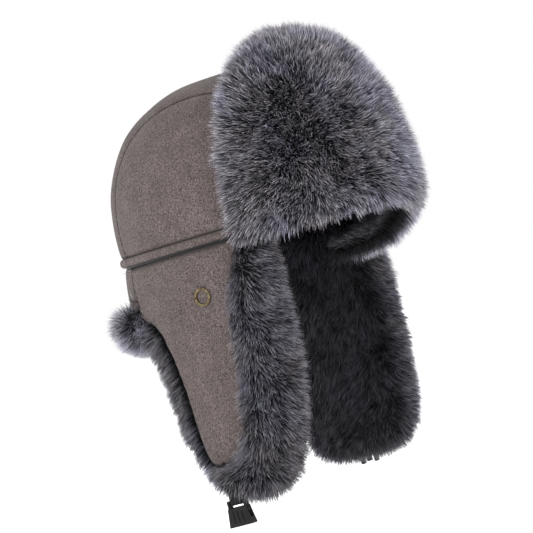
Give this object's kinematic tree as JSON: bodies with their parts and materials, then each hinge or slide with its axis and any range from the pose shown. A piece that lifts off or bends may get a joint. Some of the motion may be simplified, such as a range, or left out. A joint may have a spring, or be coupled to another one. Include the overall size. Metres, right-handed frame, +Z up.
{
  "type": "trapper hat",
  "caption": "Soft suede trapper hat with a folded-up fur visor, fur-lined ear flaps, a neck flap and a chin strap buckle.",
  "frame": {"origin": "middle of the head opening, in the plane of the seam between the crown and the flaps", "axes": "+Z up through the crown, -Y the way the wearer faces, -X the wearer's right"},
  "size_m": [0.211, 0.2486, 0.3289],
  "materials": {
    "suede": "napped",
    "wadding": "fibrous",
    "lining": "quilted satin",
    "fur": "long pile",
    "webbing": "woven",
    "brass": "antiqued",
    "buckle": "fine texture"
  },
  "bodies": {
    "crown": {"crown_side_right": "suede", "crown_side_left": "suede", "crown_centre_strip": "suede", "crown_band": "suede", "crown_wadding": "wadding", "crown_lining": "lining", "sweatband": "lining"},
    "visor": {"visor_backing": "suede", "visor_wadding": "wadding", "visor_fur": "fur"},
    "neck_flap": {"neck_shell": "suede", "neck_wadding": "wadding", "neck_fur": "fur"},
    "ear_flap_right": {"ear_shell_right": "suede", "ear_wadding_right": "wadding", "ear_fur_right": "fur", "eyelet_right": "brass", "eyelet_washer_right": "brass"},
    "ear_flap_left": {"ear_shell_left": "suede", "ear_wadding_left": "wadding", "ear_fur_left": "fur", "eyelet_left": "brass", "eyelet_washer_left": "brass"},
    "strap_right": {"chin_strap_right": "webbing", "buckle_socket": "buckle"},
    "strap_left": {"chin_strap_left": "webbing", "buckle_plug": "buckle"},
    "prong_front": {"plug_prong_front": "buckle"},
    "prong_rear": {"plug_prong_rear": "buckle"}
  },
  "joints": [
    {"name": "visor_fold", "type": "hinge", "parent": "crown", "child": "visor", "pos_m": [0, -0.114, -0.0025], "axis": [1, 0, 0], "range_deg": [0, 110]},
    {"name": "neck_flap_fold", "type": "hinge", "parent": "crown", "child": "neck_flap", "pos_m": [0, 0.112, -0.001], "axis": [1, 0, 0], "range_deg": [0, 150], "stiffness_Nm_per_rad": 0.05, "springref_deg": -5.73},
    {"name": "ear_flap_right_fold", "type": "hinge", "parent": "crown", "child": "ear_flap_right", "pos_m": [-0.094, 0, -0.0015], "axis": [0.2201, 0.9755, 0], "range_deg": [0, 150], "stiffness_Nm_per_rad": 0.05, "springref_deg": -5.73},
    {"name": "ear_flap_left_fold", "type": "hinge", "parent": "crown", "child": "ear_flap_left", "pos_m": [0.094, 0, -0.0015], "axis": [0.2201, -0.9755, 0], "range_deg": [0, 150], "stiffness_Nm_per_rad": 0.05, "springref_deg": -5.73},
    {"name": "strap_right_swing", "type": "hinge", "parent": "ear_flap_right", "child": "strap_right", "pos_m": [-0.0988, 0.024, -0.154], "axis": [0, 1, 0], "range_deg": [0, 80]},
    {"name": "strap_left_swing", "type": "hinge", "parent": "ear_flap_left", "child": "strap_left", "pos_m": [0.0988, 0.024, -0.154], "axis": [0, -1, 0], "range_deg": [0, 80]},
    {"name": "prong_front_squeeze", "type": "hinge", "parent": "strap_left", "child": "prong_front", "pos_m": [0.0988, 0.0184, -0.1745], "axis": [1, 0, 0], "range_deg": [0, 9], "stiffness_Nm_per_rad": 0.02},
    {"name": "prong_rear_squeeze", "type": "hinge", "parent": "strap_left", "child": "prong_rear", "pos_m": [0.0988, 0.0296, -0.1745], "axis": [-1, 0, 0], "range_deg": [0, 9], "stiffness_Nm_per_rad": 0.02}
  ],
  "couplings": [
    {"joint": "prong_rear_squeeze", "follows": "prong_front_squeeze", "ratio": 1}
  ]
}
